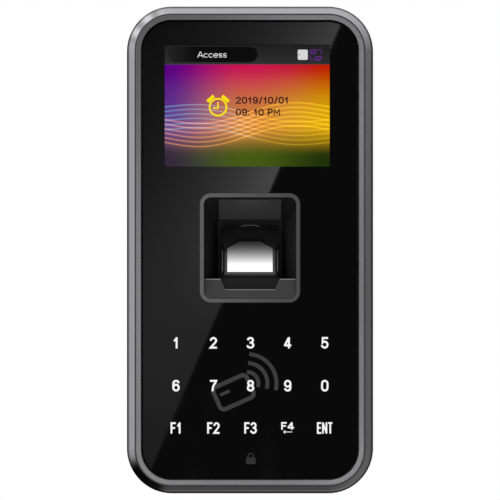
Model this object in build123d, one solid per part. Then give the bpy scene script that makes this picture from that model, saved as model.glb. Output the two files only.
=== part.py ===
from build123d import *
from math import atan2, degrees, hypot
import os

# Fingerprint scanner terminal, in millimetres.
# X is the viewer's right, Y points at the wall, Z is up.
# Y = 0 is the wall, X = Z = 0 is the centre of the bracket's four wall holes.

# ---- casing -----------------------------------------------------------------
CASE_WIDTH = 88.0
CASE_HEIGHT = 174.0
CASE_RADIUS = 16.1
CASE_BACK = -0.4
PARTING = -37.0
DRAFT = 1.0 / 36.6
CASE_WALL = 2.5
BACK_EDGE_RADIUS = 2.5
REAR_WALL_INSIDE = -4.0
SEAL_INSET = 1.0
SEAL_WIDTH = 0.9
SEAL_DEPTH = 0.8

# ---- front frame and pane ---------------------------------------------------
CREST = -43.0
FRAME_INSET = 0.6
BAND_DEPTH = 1.5
GROOVE_INSET = 3.05
GROOVE_WIDTH = 0.45
GROOVE_DEPTH = 0.5
OPENING_INSET = 5.6
BEVEL = 0.4
BEVEL_DEPTH = 0.7
LEDGE_INSET = 7.2
GLASS_FRONT = -42.2
GLASS_BACK = -40.2
GLASS_GAP = 0.1
ADHESIVE = 0.3
LEDGE_FRONT = GLASS_BACK + ADHESIVE

# ---- wall bracket -----------------------------------------------------------
PLATE = 1.5
BRACKET_HALF_WIDTH = 34.0
BRACKET_TOP = 68.0
BRACKET_BOTTOM = -78.0
BRACKET_GAP = 0.3
WALL_HOLE_RADIUS = 2.2
WALL_HOLE_X = 23.0
WALL_HOLE_Z = 50.0
CABLE_HALF_WIDTH = 16.0
CABLE_HALF_HEIGHT = 28.0
LIFT = 6.0
HOOK_X = 26.3
HOOK_LEVELS = (-30.0, 30.0)
HOOK_NECK = 5.0
HOOK_RISE = 4.5
HOOK_BACK = -4.2
HOOK_FRONT = -7.5
HOOK_WINDOW = 5.6
SLOT_CLEARANCE = 0.75
SEAT_GAP = 0.1
RAMP_TOP = 52.2
RAMP_FOOT = 38.0
RAMP_SLOPE = 0.25
RAMP_HALF_WIDTH = 4.0
FLANGE_HALF_WIDTH = 9.0
FLANGE_TOP = -81.5
FLANGE_FRONT = -15.0
SCREW_Y = -8.0
FLANGE_HOLE_RADIUS = 1.7
HEAD_POCKET_RADIUS = 5.5

# ---- fasteners --------------------------------------------------------------
M3_RADIUS = 1.5
M3_HEAD_RADIUS = 2.75
M3_HEAD = 2.0
M3_INSERT_BORE = 1.58
WASHER = 0.5
CASE_SCREWS = ((-22.0, 80.5), (22.0, 80.5), (-38.2, 4.0), (38.2, 4.0), (-38.2, -66.0), (38.2, -66.0))
CASE_SCREW_SEAT = -28.0
POST_FRONT = -33.0
POST_RADIUS = 4.6
BOSS_RADIUS = 3.2
INSERT_RADIUS = 2.1
CHASSIS_SCREWS = ((-39.0, 60.0), (39.0, 60.0), (-39.0, -35.0), (39.0, -35.0))
M2_RADIUS = 1.0
BOARD_SCREWS = ((-29.5, 47.0), (29.5, 47.0), (-29.5, -67.0), (29.5, -67.0))
BOARD_POST_RADIUS = 2.6

# ---- display and touch keys -------------------------------------------------
LCD_CENTRE = (-1.0, 51.5)
LCD_SIZE = (69.0, 49.2)
PICTURE_SIZE = (58.8, 43.5)
LCD_FRONT = -39.8
LCD_GLASS = 1.4
BACKLIGHT_BACK = -36.0
LCD_FLEX_WINDOW_X = (-11.0, 7.0)
LCD_FLEX_WINDOW_Z = (23.2, 26.2)
KEY_COLUMNS = (-26.4, -13.1, 0.2, 13.5, 26.8)
KEY_ROWS = (-33.25, -48.5, -63.65)
TOUCH_X = (-34.5, 34.5)
TOUCH_Z = (-73.0, -23.0)
GUIDE_FRONT = -40.0
TOUCH_FRONT = -39.0
TOUCH_BACK = -37.8

# ---- chassis and main board -------------------------------------------------
CHASSIS_FRONT = -35.8
CHASSIS_BACK = -34.0
BOARD_FRONT = -18.8
BOARD_BACK = -17.2
BOARD_X = (-33.0, 33.0)
BOARD_Z = (-72.0, 52.0)
BAY_HALF_WIDTH = 15.0
BAY_HALF_HEIGHT = 26.0
BAY_WALL = 1.5
BAY_SEAL_BACK = -15.6

# ---- finger pocket ----------------------------------------------------------
RING_CENTRE = (0.0, 0.715)
RING_SIZE = (35.7, 38.9)
RING_RADIUS = 3.9
MOUTH_SIZE = (32.9, 36.09)
MOUTH_RADIUS = 2.55
RING_FRONT = -42.7
RING_BACK = -38.7
RING_FLANGE = 1.7
REST_GAP = 0.1
LINER_FRONT = -38.6
POCKET_BACK = -27.5
LINER_BACK = -25.5
POCKET_FLOOR_Z = -12.0
POCKET_ROOF_Z = 11.05
POCKET_BACK_HALF_WIDTH = 11.6
SENSOR_ORIGIN = (0.0, -33.0, -1.6)
SENSOR_NORMAL = (0.0, -0.848, 0.530)
WINDOW_HALF_WIDTH = 8.1
WINDOW_HALF_LENGTH = 7.5
SENSOR_BEZEL = 1.0
SENSOR_HALF_WIDTH = 10.2
ARCH_HALF_WIDTH = 9.3
SENSOR_PLANE = Plane(origin=SENSOR_ORIGIN, x_dir=(1, 0, 0), z_dir=SENSOR_NORMAL)


# ---- tamper detector and speaker --------------------------------------------
PLUNGER_RADIUS = 1.5
PLUNGER_Z = 45.0
PLUNGER_TIP = -3.45
PLUNGER_END = -13.2
RAMP_POCKET_FLOOR = -5.6
COLLAR_BACK = -9.4
SPEAKER_X = -16.0
SPEAKER_Y = -27.0
SPEAKER_SLOTS = tuple(SPEAKER_X + 4.0 * step for step in (-2, -1, 0, 1, 2))
SPEAKER_PLACE = (SPEAKER_X, SPEAKER_Y)


# ---- shapes used throughout -------------------------------------------------
def block(x, y, z):
    """A box between a low and a high face on each axis."""
    middle = [(low + high) / 2 for low, high in (x, y, z)]
    size = [high - low for low, high in (x, y, z)]
    return Pos(*middle) * Box(*size)


def outline(width, height, radius, y, centre=(0.0, 0.0)):
    """A rounded rectangle as the viewer sees it, at one depth."""
    place = Plane(origin=(centre[0], y, centre[1]), x_dir=(1, 0, 0), z_dir=(0, -1, 0))
    return place * RectangleRounded(width, height, radius)


def slab(width, height, radius, front, back, centre=(0.0, 0.0)):
    """A rounded rectangle that runs straight back from front to back."""
    return extrude(outline(width, height, radius, back, centre), amount=back - front)


def case_outline(inset, y):
    """The casing's outline at one depth, drawn in from its edge by inset."""
    pull = inset + DRAFT * max(y - PARTING, 0.0)
    return outline(CASE_WIDTH - 2 * pull, CASE_HEIGHT - 2 * pull, CASE_RADIUS - pull, y)


def case_slab(inset, front, back):
    """The casing's straight outline, drawn in by inset, between two depths."""
    return slab(CASE_WIDTH - 2 * inset, CASE_HEIGHT - 2 * inset, CASE_RADIUS - inset, front, back)


def rod(radius, front, back, place=(0.0, 0.0)):
    """A round bar along Y at an (x, z) place."""
    return Pos(place[0], (front + back) / 2, place[1]) * Rot(90, 0, 0) * Cylinder(radius, back - front)


def pillar(radius, low, high, place=(0.0, 0.0)):
    """A round bar along Z at an (x, y) place."""
    return Pos(place[0], place[1], (low + high) / 2) * Cylinder(radius, high - low)


def long_hole(radius, front, back, place, drop):
    """A slot with round ends along Z, its top end centred on the place."""
    x, z = place
    ends = rod(radius, front, back, (x, z)) + rod(radius, front, back, (x, z - drop))
    return ends + block((x - radius, x + radius), (front, back), (z - drop, z))


def side_profile(points, half_width):
    """A solid with one (y, z) outline from the left to the right."""
    face = Plane.YZ * make_face(Polyline(*points, close=True))
    return extrude(face, amount=half_width, both=True)


def oval(length, width, low, high, place):
    """A slot-shaped slab lying flat, long along X."""
    return Pos(place[0], place[1], low) * extrude(SlotOverall(length, width), amount=high - low)


def grid(columns, rows):
    """Every pair of a column and a row."""
    return [(x, z) for z in rows for x in columns]


def joined(solids):
    """One solid from pieces that meet."""
    whole = None
    for solid in solids:
        whole = solid if whole is None else whole + solid
    return whole


def group(solids):
    """Separate solids kept in one node."""
    return Compound(children=[Solid(item.solids()[0].wrapped) for item in solids])


# ---- held to the wall -------------------------------------------------------
def wall_bracket():
    """Folded steel plate: wall holes, cable opening, hooks, ramp and flange."""
    plate = block((-BRACKET_HALF_WIDTH, BRACKET_HALF_WIDTH), (-PLATE, 0), (BRACKET_BOTTOM, BRACKET_TOP))
    plate = fillet(plate.edges().filter_by(Axis.Y), 4.0)
    cable = block((-CABLE_HALF_WIDTH, CABLE_HALF_WIDTH), (-PLATE, 0), (-CABLE_HALF_HEIGHT, CABLE_HALF_HEIGHT))
    plate -= fillet(cable.edges().filter_by(Axis.Y), 3.0)
    for place in grid((-WALL_HOLE_X, WALL_HOLE_X), (-WALL_HOLE_Z, WALL_HOLE_Z)):
        plate -= rod(WALL_HOLE_RADIUS, -PLATE, 0, place)
    for level in HOOK_LEVELS:
        for side in (-1, 1):
            plate = add_hook(plate, side, level)
    return add_flange(add_ramp(plate))


def add_hook(plate, side, level):
    """One hook folded forward beside the window that it was cut from."""
    near, far = sorted((side * (HOOK_X - HOOK_WINDOW), side * HOOK_X))
    plate -= block((near, far), (-PLATE, 0), (level - HOOK_NECK, level + HOOK_RISE))
    low, high = sorted((side * HOOK_X, side * (HOOK_X + PLATE)))
    neck = block((low, high), (HOOK_FRONT, 0), (level - HOOK_NECK, level))
    finger = block((low, high), (HOOK_FRONT, HOOK_BACK), (level - HOOK_NECK, level + HOOK_RISE))
    tips = finger.edges().filter_by(Axis.X).group_by(Axis.Z)[-1]
    return plate + neck + chamfer(tips, 1.0)


def add_ramp(plate):
    """The tongue that the tamper plunger's tip slides on."""
    plate -= block((-RAMP_HALF_WIDTH - 0.5, RAMP_HALF_WIDTH + 0.5), (-PLATE, 0), (RAMP_FOOT - 0.5, RAMP_TOP))
    reach = RAMP_SLOPE * (RAMP_TOP - RAMP_FOOT)
    tongue = side_profile(
        [(0, RAMP_TOP + 1.0), (-PLATE, RAMP_TOP + 1.0), (-PLATE, RAMP_TOP),
         (-PLATE - reach, RAMP_FOOT), (-reach, RAMP_FOOT), (0, RAMP_TOP)],
        RAMP_HALF_WIDTH,
    )
    return plate + tongue


def add_flange(plate):
    """The tongue folded forward under the terminal for the security screw."""
    bottom = FLANGE_TOP - PLATE
    fold = side_profile(
        [(0, BRACKET_BOTTOM + 5.0), (0, bottom), (FLANGE_FRONT, bottom),
         (FLANGE_FRONT, FLANGE_TOP), (-PLATE, FLANGE_TOP), (-PLATE, BRACKET_BOTTOM + 5.0)],
        FLANGE_HALF_WIDTH,
    )
    corner = fold.edges().filter_by(Axis.X).filter_by(lambda edge: abs(edge.center().Y) < 0.01)
    fold = fillet(corner.sort_by(Axis.Z)[0], PLATE)
    nose = fold.edges().filter_by(Axis.Z).filter_by(lambda edge: edge.center().Y < FLANGE_FRONT + 0.01)
    fold = fillet(nose, 2.0)
    return plate + fold - pillar(FLANGE_HOLE_RADIUS, bottom, FLANGE_TOP, (0, SCREW_Y))


def security_washer():
    """Captive washer between the flange and the screw's head."""
    top = FLANGE_TOP - PLATE
    ring = pillar(3.5, top - WASHER, top, (0, SCREW_Y))
    return ring - pillar(M3_RADIUS + 0.1, top - WASHER, top, (0, SCREW_Y))


def security_screw():
    """M3 pin-head screw, its six-lobe socket facing down."""
    seat = FLANGE_TOP - PLATE - WASHER
    head = pillar(M3_HEAD_RADIUS, seat - M3_HEAD, seat, (0, SCREW_Y))
    head = fillet(head.edges().sort_by(Axis.Z)[0], 0.6)
    socket = pillar(0.9, seat - M3_HEAD, seat - 0.8, (0, SCREW_Y))
    for turn in range(6):
        lobe = Pos(0, SCREW_Y, 0) * Rot(0, 0, 60 * turn) * pillar(0.3, seat - M3_HEAD, seat - 0.8, (0.9, 0))
        socket += lobe
    drive_pin = pillar(0.3, seat - M3_HEAD + 0.2, seat - 0.6, (0, SCREW_Y))
    return head - socket + drive_pin + pillar(M3_RADIUS, seat, seat + 7.0, (0, SCREW_Y))


# ---- casing -----------------------------------------------------------------
def rear_case():
    """Drafted black tub with everything that meets the bracket."""
    shell = loft([case_outline(0, PARTING), case_outline(0, CASE_BACK)], ruled=True)
    shell = fillet(shell.faces().sort_by(Axis.Y)[-1].edges(), BACK_EDGE_RADIUS)
    shell -= loft([case_outline(CASE_WALL, PARTING), case_outline(CASE_WALL, REAR_WALL_INSIDE)], ruled=True)
    shell -= seal_ring(0.0)
    shell = add_bay_walls(shell)
    shell = add_screw_posts(shell)
    shell = add_flange_recess(shell)
    shell = add_ramp_pocket(shell)
    shell = add_head_pockets(shell)
    recess = block(
        (-BRACKET_HALF_WIDTH - BRACKET_GAP, BRACKET_HALF_WIDTH + BRACKET_GAP),
        (-PLATE - BRACKET_GAP, 0),
        (-CASE_HEIGHT / 2, BRACKET_TOP + BRACKET_GAP),
    )
    shell -= recess
    for level in HOOK_LEVELS:
        for side in (-1, 1):
            middle = side * (HOOK_X + PLATE / 2)
            reach = PLATE / 2 + SLOT_CLEARANCE
            low = level - HOOK_NECK - LIFT - 0.5
            shell -= block((middle - reach, middle + reach), (REAR_WALL_INSIDE, 0), (low, level + SEAT_GAP))
    for x in SPEAKER_SLOTS:
        shell -= block((x - 0.8, x + 0.8), (SPEAKER_Y - 4.5, SPEAKER_Y + 4.5), (-CASE_HEIGHT / 2, -80.0))
    return shell


def seal_ring(clearance):
    """The cord groove in the rim, or the cord when a clearance is given."""
    outer = SEAL_INSET + clearance
    inner = SEAL_INSET + SEAL_WIDTH - clearance
    back = PARTING + SEAL_DEPTH - clearance
    return case_slab(outer, PARTING, back) - case_slab(inner, PARTING, back)


def case_seal():
    """Rubber cord in the rim."""
    return seal_ring(0.03)


def add_bay_walls(shell):
    """The open bay that the cables come into, walled off from the inside."""
    return shell + bay_block(BAY_WALL, BAY_SEAL_BACK, REAR_WALL_INSIDE) - bay_block(0.0, BAY_SEAL_BACK, 0)


def bay_block(wall, front, back):
    """The connector bay's space, or its outside when a wall is given."""
    x = BAY_HALF_WIDTH + wall
    z = BAY_HALF_HEIGHT + wall
    return block((-x, x), (front, back), (-z, z))


def add_screw_posts(shell):
    """Deep posts whose screws are reached from the back."""
    for place in CASE_SCREWS:
        shell += rod(POST_RADIUS, POST_FRONT, REAR_WALL_INSIDE + 1.0, place)
        shell -= rod(M3_HEAD_RADIUS + 0.35, CASE_SCREW_SEAT, 0, place)
        shell -= rod(M3_RADIUS + 0.2, POST_FRONT, CASE_SCREW_SEAT, place)
    return shell


def add_flange_recess(shell):
    """Box in the underside that takes the flange, washer and screw head."""
    roof = FLANGE_TOP + 0.2
    half = FLANGE_HALF_WIDTH + 1.5
    front = FLANGE_FRONT - 1.0
    shell += block((-half - 2.2, half + 2.2), (front - 2.2, REAR_WALL_INSIDE + 1.0), (-84.5, roof + 2.5))
    shell += pillar(5.0, roof, roof + 5.0, (0, SCREW_Y))
    shell -= block((-half, half), (front, 0), (-CASE_HEIGHT / 2, roof))
    return shell - pillar(2.52, roof, roof + 5.0, (0, SCREW_Y))


def security_insert():
    """Brass insert that the security screw threads into."""
    roof = FLANGE_TOP + 0.2
    bush = pillar(2.5, roof, roof + 4.8, (0, SCREW_Y))
    return bush - pillar(M3_INSERT_BORE, roof, roof + 4.8, (0, SCREW_Y))


def add_ramp_pocket(shell):
    """Pocket that the bracket's ramp slides in, with the plunger's hole."""
    low = RAMP_FOOT - LIFT - 0.5
    high = RAMP_TOP + 1.4
    half = RAMP_HALF_WIDTH + 1.5
    floor = RAMP_POCKET_FLOOR
    shell += block((-half - 1.8, half + 1.8), (floor - 1.8, REAR_WALL_INSIDE + 0.5), (low - 1.8, high + 1.8))
    shell -= block((-half, half), (floor, 0), (low, high))
    return shell - rod(PLUNGER_RADIUS + 0.1, floor - 1.8, floor, (0, PLUNGER_Z))


def add_head_pockets(shell):
    """Pockets over the wall screws' heads, long enough for the lift."""
    for x, z in grid((-WALL_HOLE_X, WALL_HOLE_X), (-WALL_HOLE_Z, WALL_HOLE_Z)):
        shell += long_hole(HEAD_POCKET_RADIUS + 1.8, -6.8, REAR_WALL_INSIDE + 0.5, (x, z), LIFT)
        shell -= long_hole(HEAD_POCKET_RADIUS, -5.2, 0, (x, z), LIFT)
    return shell


def case_screws():
    """Six M3 screws deep in the rear posts."""
    screws = []
    for place in CASE_SCREWS:
        head = rod(M3_HEAD_RADIUS, CASE_SCREW_SEAT, CASE_SCREW_SEAT + M3_HEAD, place)
        head -= rod(1.2, CASE_SCREW_SEAT + 0.9, CASE_SCREW_SEAT + M3_HEAD, place)
        screws.append(head + rod(M3_RADIUS, CASE_SCREW_SEAT - 8.5, CASE_SCREW_SEAT, place))
    return group(screws)


def case_inserts():
    """Six brass inserts in the front frame's bosses."""
    back = POST_FRONT - 0.25
    inserts = []
    for place in CASE_SCREWS:
        bush = rod(INSERT_RADIUS, back - 4.4, back, place)
        inserts.append(bush - rod(M3_RADIUS + 0.05, back - 4.4, back, place))
    return group(inserts)


def front_frame():
    """Bright frame: bevelled outer band, groove, flat inner band, glass ledge."""
    frame = case_slab(FRAME_INSET, CREST + BAND_DEPTH, PARTING)
    frame += loft([case_bevel(FRAME_INSET, CREST + BAND_DEPTH), case_bevel(GROOVE_INSET, CREST)], ruled=True)
    groove = case_slab(GROOVE_INSET, CREST, CREST + GROOVE_DEPTH)
    groove -= case_slab(GROOVE_INSET + GROOVE_WIDTH, CREST, CREST + GROOVE_DEPTH)
    frame -= groove
    frame -= case_slab(OPENING_INSET, CREST, LEDGE_FRONT)
    frame -= loft(
        [case_bevel(OPENING_INSET - BEVEL, CREST), case_bevel(OPENING_INSET, CREST + BEVEL_DEPTH)], ruled=True
    )
    for place in CASE_SCREWS:
        frame += rod(BOSS_RADIUS, LEDGE_FRONT + 1.4, POST_FRONT - 0.2, place)
    frame -= case_slab(LEDGE_INSET, LEDGE_FRONT - 0.5, PARTING) - screw_boss_keepers()
    for place in CASE_SCREWS:
        frame -= rod(INSERT_RADIUS + 0.02, POST_FRONT - 4.9, POST_FRONT, place)
    for place in CHASSIS_SCREWS:
        frame -= rod(M2_RADIUS + 0.05, PARTING - 1.8, PARTING, place)
    return frame


def case_bevel(inset, y):
    """One end of the outer band, or of the bevel round the pane's opening."""
    return outline(CASE_WIDTH - 2 * inset, CASE_HEIGHT - 2 * inset, CASE_RADIUS - inset, y)


def screw_boss_keepers():
    """The part of each boss that stands inside the frame's ledge."""
    return joined([rod(BOSS_RADIUS, LEDGE_FRONT + 1.4, PARTING, place) for place in CASE_SCREWS])


def glass_adhesive():
    """Black gasket tape between the pane and the frame's ledge."""
    tape = case_slab(OPENING_INSET + 0.3, GLASS_BACK, LEDGE_FRONT)
    return tape - case_slab(LEDGE_INSET - 0.1, GLASS_BACK, LEDGE_FRONT)


def front_glass():
    """The one black pane, with the finger opening cut through it."""
    pane = case_slab(OPENING_INSET + GLASS_GAP, GLASS_FRONT, GLASS_BACK)
    pane = chamfer(pane.faces().sort_by(Axis.Y)[0].edges(), 0.3)
    hole = [size + 2 * GLASS_GAP for size in RING_SIZE]
    return pane - slab(*hole, RING_RADIUS + GLASS_GAP, GLASS_FRONT, GLASS_BACK, RING_CENTRE)


# ---- chassis ----------------------------------------------------------------
def inner_chassis():
    """Black mid-frame that carries the display, touch board and pocket."""
    plate = block((-33.6, 33.6), (CHASSIS_FRONT, CHASSIS_BACK), (-74.0, 75.0))
    plate = fillet(plate.edges().filter_by(Axis.Y), 3.0)
    collar = slab(40.6, 44.0, 4.0, -37.2, CHASSIS_FRONT, RING_CENTRE)
    plate += collar
    plate -= slab(37.6, 40.8, 3.0, -37.2, CHASSIS_BACK, RING_CENTRE)
    for x, z in CHASSIS_SCREWS:
        inner, outer = sorted((x / 39.0 * 30.0, x / 39.0 * 41.0))
        plate += block((inner, outer), (CHASSIS_FRONT, CHASSIS_BACK), (z - 4, z + 4))
        plate += rod(2.2, PARTING + 0.05, CHASSIS_FRONT, (x, z))
        plate -= rod(M2_RADIUS + 0.1, PARTING + 0.05, CHASSIS_BACK, (x, z))
    for place in BOARD_SCREWS:
        plate += rod(BOARD_POST_RADIUS, CHASSIS_FRONT, BOARD_FRONT - 0.05, place)
        plate -= rod(M2_RADIUS + 0.25, -26.0, BOARD_FRONT - 0.05, place)
    for place in grid((-15.0, 0.0, 15.0), (-34.5, -48.5, -61.5)):
        plate += rod(2.0, TOUCH_BACK + 0.05, CHASSIS_FRONT, place)
    plate -= block(LCD_FLEX_WINDOW_X, (CHASSIS_FRONT, CHASSIS_BACK), LCD_FLEX_WINDOW_Z)
    return plate - block((18.0, 30.0), (CHASSIS_FRONT, CHASSIS_BACK), (-37.5, -31.5))


def chassis_screws():
    """Four M2 screws from the chassis into the frame's ledge."""
    screws = []
    for place in CHASSIS_SCREWS:
        head = rod(1.9, CHASSIS_BACK, CHASSIS_BACK + 1.2, place)
        head -= rod(0.8, CHASSIS_BACK + 0.6, CHASSIS_BACK + 1.2, place)
        screws.append(head + rod(M2_RADIUS, PARTING - 1.6, CHASSIS_BACK, place))
    return group(screws)


# ---- display ----------------------------------------------------------------
def lcd_glass():
    """The colour panel."""
    return slab(*LCD_SIZE, 0.8, LCD_FRONT, LCD_FRONT + LCD_GLASS, LCD_CENTRE)


def lcd_backlight():
    """The panel's light tray, with its rim."""
    front = LCD_FRONT + LCD_GLASS
    tray = slab(*LCD_SIZE, 1.2, front, BACKLIGHT_BACK, LCD_CENTRE)
    x, z = LCD_CENTRE
    rib = block((x - 28.0, x + 28.0), (BACKLIGHT_BACK - 0.3, BACKLIGHT_BACK), (z - 18.0, z + 18.0))
    return tray - rib


def lcd_gasket():
    """Foam frame between the panel and the pane."""
    width, height = PICTURE_SIZE
    foam = slab(width + 6.0, height + 4.5, 1.5, GLASS_BACK, LCD_FRONT, LCD_CENTRE)
    return foam - slab(width + 0.8, height + 0.8, 0.5, GLASS_BACK, LCD_FRONT, LCD_CENTRE)


def lcd_flex():
    """The panel's ribbon, over the pocket's roof to the main board."""
    x = (-9.0, 5.0)
    panel_end = block(x, (-38.4, -38.1), (24.6, LCD_CENTRE[1] - LCD_SIZE[1] / 2))
    run = block(x, (-38.4, -19.2), (24.3, 24.6))
    board_end = block(x, (-19.2, -18.85), (24.3, 31.0))
    return panel_end + run + board_end


# ---- touch keys -------------------------------------------------------------
def touch_board():
    """Board behind the fifteen touch legends."""
    board = block(TOUCH_X, (TOUCH_FRONT, TOUCH_BACK), TOUCH_Z)
    return fillet(board.edges().filter_by(Axis.Y), 8.0)


def legend_light_guide():
    """Diffuser sheet with a window over each lamp."""
    guide = block((-33.0, 33.0), (GUIDE_FRONT, TOUCH_FRONT), (-70.5, -25.5))
    guide = fillet(guide.edges().filter_by(Axis.Y), 6.0)
    for x, z in grid(KEY_COLUMNS, KEY_ROWS):
        guide -= block((x - 1.6, x + 1.6), (GUIDE_FRONT, TOUCH_FRONT), (z - 5.6, z - 3.4))
    return guide


def legend_leds():
    """Fifteen white lamps, one under each legend."""
    lamps = []
    for x, z in grid(KEY_COLUMNS, KEY_ROWS):
        lamps.append(block((x - 1.0, x + 1.0), (TOUCH_FRONT - 0.6, TOUCH_FRONT), (z - 5.1, z - 3.9)))
    return group(lamps)


def antenna_coil():
    """Three copper loops of the card reader, on the touch board's back."""
    loops = []
    for turn in range(3):
        outer = [64.0 - 3.2 * turn, 44.0 - 3.2 * turn]
        inner = [size - 1.6 for size in outer]
        front = TOUCH_BACK
        loop = slab(*outer, 5.0, front, front + 0.1, (0, -48.0))
        loops.append(loop - slab(*inner, 4.2, front, front + 0.1, (0, -48.0)))
    return group(loops)


def touch_flex():
    """The touch board's ribbon to the main board."""
    x = (20.5, 27.5)
    start = block(x, (-37.65, -37.35), (-36.0, -32.4))
    run = block(x, (-37.65, -19.2), (-32.4, -32.1))
    end = block(x, (-19.2, -18.85), (-32.4, -26.0))
    return start + run + end


# ---- finger pocket ----------------------------------------------------------
def sensor_ring():
    """Grey ring round the pocket's mouth, flanged behind the pane."""
    ring = slab(*RING_SIZE, RING_RADIUS, RING_FRONT, RING_BACK, RING_CENTRE)
    ring = chamfer(ring.faces().sort_by(Axis.Y)[0].edges(), 0.25)
    flange = [size + 2 * RING_FLANGE for size in RING_SIZE]
    ring += slab(*flange, RING_RADIUS + RING_FLANGE, GLASS_BACK + 0.1, RING_BACK, RING_CENTRE)
    return ring - slab(*MOUTH_SIZE, MOUTH_RADIUS, RING_FRONT, RING_BACK, RING_CENTRE)


def pocket_liner():
    """Black walls of the pocket, narrowing towards its back."""
    body = slab(36.8, 40.0, 3.0, LINER_FRONT, LINER_BACK, RING_CENTRE)
    body += slab(39.4, 42.6, 4.0, LINER_FRONT, -37.4, RING_CENTRE)
    body -= pocket_space(0.0)
    half = SENSOR_HALF_WIDTH + 0.2
    return body - block((-half, half), (LINER_FRONT, LINER_BACK), (-14.7, 5.6))


def pocket_space(gap):
    """The pocket's tapering hollow behind the ring, kept a gap off its walls."""
    width, height = (size - 2 * gap for size in MOUTH_SIZE)
    mouth = outline(width, height, MOUTH_RADIUS - gap, LINER_FRONT, RING_CENTRE)
    back_width = 2 * (POCKET_BACK_HALF_WIDTH - gap)
    back_height = POCKET_ROOF_Z - POCKET_FLOOR_Z - 2 * gap
    back_centre = (0, (POCKET_ROOF_Z + POCKET_FLOOR_Z) / 2)
    return loft([mouth, outline(back_width, back_height, 1.2 - gap, POCKET_BACK, back_centre)], ruled=True)


def ceiling_window():
    """Dark panel laid along the pocket's sloping ceiling."""
    top = RING_CENTRE[1] + MOUTH_SIZE[1] / 2
    run = POCKET_BACK - LINER_FRONT
    fall = POCKET_ROOF_Z - top
    middle = (0, LINER_FRONT + run / 2, top + fall / 2)
    tilt = degrees(atan2(fall, run))
    length = hypot(run, fall) - 1.6
    return Pos(*middle) * Rot(tilt, 0, 0) * Pos(0, 0, -0.4) * Box(22.4, length, 0.6)


def finger_rest():
    """Sill with a notch that the finger lies in."""
    sill = side_profile([(-42.0, -17.3), (-38.9, -10.5), (-37.7, -10.5), (-37.7, -17.3)], MOUTH_SIZE[0] / 2)
    corners = ((-10.45, -10.4), (10.45, -10.4), (8.8, -14.1), (-8.8, -14.1))
    notch = Plane.XZ * make_face(Polyline(*corners, close=True))
    sill -= extrude(notch, amount=45.0)
    width, height = (size - 2 * REST_GAP for size in MOUTH_SIZE)
    mouth = slab(width, height, MOUTH_RADIUS - REST_GAP, RING_FRONT, LINER_FRONT, RING_CENTRE)
    return sill & (mouth + pocket_space(REST_GAP))


def local_block(x, along, out):
    """A box in the reader's tilted plane: across, up the window, off it."""
    return SENSOR_PLANE * block(x, along, out)


def arch():
    """The finger's arched cut-out as it is seen along the window's normal."""
    right = ((ARCH_HALF_WIDTH, -9.5), (ARCH_HALF_WIDTH, 1.1), (8.2, 2.3), (3.7, 5.3))
    left = [(-x, along) for x, along in reversed(right)]
    face = SENSOR_PLANE * make_face(Polyline(*right, *left, close=True))
    return extrude(face, amount=6.0)


def finger_stop():
    """Hood that stops the fingertip, with low rails beside the window."""
    hood = local_block((-10.4, 10.4), (0.5, 10.4), (0.4, 3.6))
    hood = fillet(hood.edges().filter_by(Axis((0, 0, 0), SENSOR_NORMAL)), 2.5)
    for side in (-1, 1):
        rail = sorted((side * ARCH_HALF_WIDTH, side * 10.4))
        hood += local_block(rail, (-8.4, 2.0), (0.4, 1.2))
    hood -= arch()
    for x in (-4.0, 4.0):
        hood -= SENSOR_PLANE * Pos(x, 7.4, 3.2) * Cylinder(0.5, 1.0)
    return hood


def status_leds():
    """Two small lamps in the hood's face."""
    return group([SENSOR_PLANE * Pos(x, 7.4, 3.2) * Cylinder(0.45, 0.8) for x in (-4.0, 4.0)])


def sensor_frame():
    """Narrow bezel round the finger window."""
    side = WINDOW_HALF_WIDTH + SENSOR_BEZEL
    end = WINDOW_HALF_LENGTH + 1.1
    bezel = local_block((-side, side), (-end, end), (-1.0, 0.35))
    hole = local_block(
        (-WINDOW_HALF_WIDTH - 0.05, WINDOW_HALF_WIDTH + 0.05),
        (-WINDOW_HALF_LENGTH - 0.05, WINDOW_HALF_LENGTH + 0.05),
        (-1.0, 0.35),
    )
    return bezel - hole


def sensor_prism():
    """Glass block that the finger is laid on."""
    return local_block(
        (-WINDOW_HALF_WIDTH, WINDOW_HALF_WIDTH), (-WINDOW_HALF_LENGTH, WINDOW_HALF_LENGTH), (-5.5, 0.05)
    )


def sensor_body():
    """Optical housing: prism seat, dark chamber and lens hole."""
    profile = [(-37.4, -14.4), (-37.4, -10.2), (-36.6, -9.5), (-27.6, 5.0), (-22.0, 5.0), (-22.0, -14.4)]
    body = side_profile(profile, SENSOR_HALF_WIDTH)
    body -= local_block((-8.2, 8.2), (-7.6, 7.6), (-5.6, 0.5))
    body -= block((-8.2, 8.2), (-31.0, -23.4), (-12.5, -1.0))
    return body - rod(2.6, -23.4, -22.0, (0, -6.0))


def sensor_lens():
    """Small lens in front of the image chip."""
    lens = rod(2.5, -25.0, -22.1, (0, -6.0))
    return fillet(lens.edges().sort_by(Axis.Y)[0], 1.0)


def sensor_board():
    """Board with the image chip."""
    board = block((-10.0, 10.0), (-21.8, -20.7), (-15.0, 5.0))
    return board + block((-3.0, 3.0), (-21.98, -21.8), (-9.0, -3.0))


def sensor_leds():
    """White lamps that light the prism through the chamber."""
    return group([block((x - 1.2, x + 1.2), (-24.6, -23.45), (-11.5, -9.5)) for x in (-5.5, 0.0, 5.5)])


def sensor_ribbon():
    """Ribbon from the reader's board to the main board."""
    start = block((-4.0, 4.0), (-20.65, -20.35), (-24.0, -14.0))
    return start + block((-4.0, 4.0), (-20.65, -18.85), (-24.3, -24.0))


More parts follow.
